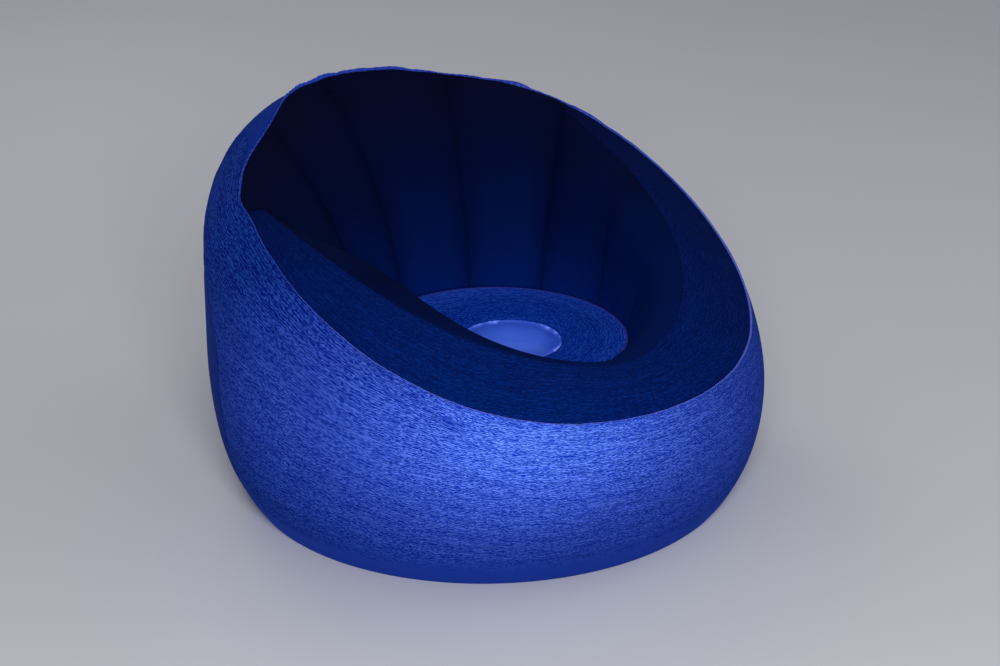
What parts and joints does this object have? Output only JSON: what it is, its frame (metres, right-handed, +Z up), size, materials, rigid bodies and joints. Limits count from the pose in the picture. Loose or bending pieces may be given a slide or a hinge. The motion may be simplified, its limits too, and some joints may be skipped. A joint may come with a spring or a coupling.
{
  "type": "inflatable led pouf",
  "caption": "Inflatable lounge pouf with a raked bucket seat, welded arm roll, glowing textured outer wall and a round lamp window in the seat.",
  "frame": {"origin": "on the floor, under the middle of the pouf's plan outline", "axes": "+Z up, -Y towards the low front where the sitter's legs go, +X to the right seen from the front"},
  "size_m": [1.0664, 1.0504, 0.7018],
  "materials": {
    "textured_vinyl": "woven translucent vinyl, lit from inside",
    "smooth_vinyl": "smooth dark vinyl",
    "window_vinyl": "clear tinted vinyl, lit from below",
    "base_vinyl": "smooth heavy vinyl",
    "weld": "pressed weld line",
    "clear_vinyl": "clear vinyl film",
    "valve_vinyl": "soft clear vinyl",
    "pin": "moulded nylon",
    "socket_plastic": "clear plastic",
    "lamp_plastic": "fine satin",
    "gasket_rubber": "matt",
    "frosted_plastic": "frosted",
    "circuit_board": "solder resist",
    "light_chip": "white package",
    "white_plastic": "polished white",
    "screw_steel": "zinc plated",
    "cell_steel": "sleeved",
    "contact_metal": "nickel plated",
    "button_rubber": "soft touch",
    "switch_plastic": "moulded"
  },
  "bodies": {
    "chamber": {"side_wall": "textured_vinyl", "back_panel": "smooth_vinyl", "arm_roll": "smooth_vinyl", "inner_wall_back_right": "smooth_vinyl", "inner_wall_back_left": "smooth_vinyl", "inner_wall_right": "smooth_vinyl", "inner_wall_left": "smooth_vinyl", "seat_disc": "textured_vinyl", "lamp_window": "window_vinyl", "base_panel": "base_vinyl", "rim_lip": "weld", "seat_lip": "weld", "tie_strips": "smooth_vinyl", "light_well": "clear_vinyl", "valve_body": "valve_vinyl", "valve_cap_pin": "pin", "valve_flap_pin": "pin", "lamp_socket": "socket_plastic"},
    "lamp": {"lamp_housing": "lamp_plastic", "lamp_gasket": "gasket_rubber", "lamp_diffuser": "frosted_plastic", "light_board": "circuit_board", "light_chips": "light_chip", "light_reflector": "white_plastic", "board_screws": "screw_steel", "battery_tray": "lamp_plastic", "battery_cells": "cell_steel", "battery_contacts": "contact_metal", "battery_door": "lamp_plastic", "door_screw": "screw_steel", "button_switch": "switch_plastic"},
    "button": {"power_button": "button_rubber"},
    "cap": {"valve_cap": "valve_vinyl"},
    "flap": {"valve_flap": "valve_vinyl"}
  },
  "joints": [
    {"name": "lamp_twist", "type": "hinge", "parent": "chamber", "child": "lamp", "pos_m": [0, -0.06, 0], "axis": [0, 0, 1], "range_deg": [0, 30]},
    {"name": "button_press", "type": "slide", "parent": "lamp", "child": "button", "axis": [0, 0, 1], "range_m": [0, 0.0015], "stiffness_N_per_m": 400},
    {"name": "cap_hinge", "type": "hinge", "parent": "chamber", "child": "cap", "pos_m": [0.15043, 0.5014, 0.1553], "axis": [0.9659, -0.2588, 0], "range_deg": [0, 150]},
    {"name": "flap_hinge", "type": "hinge", "parent": "chamber", "child": "flap", "pos_m": [0.13856, 0.45712, 0.16086], "axis": [-0.9659, 0.2588, 0], "range_deg": [0, 40]}
  ]
}
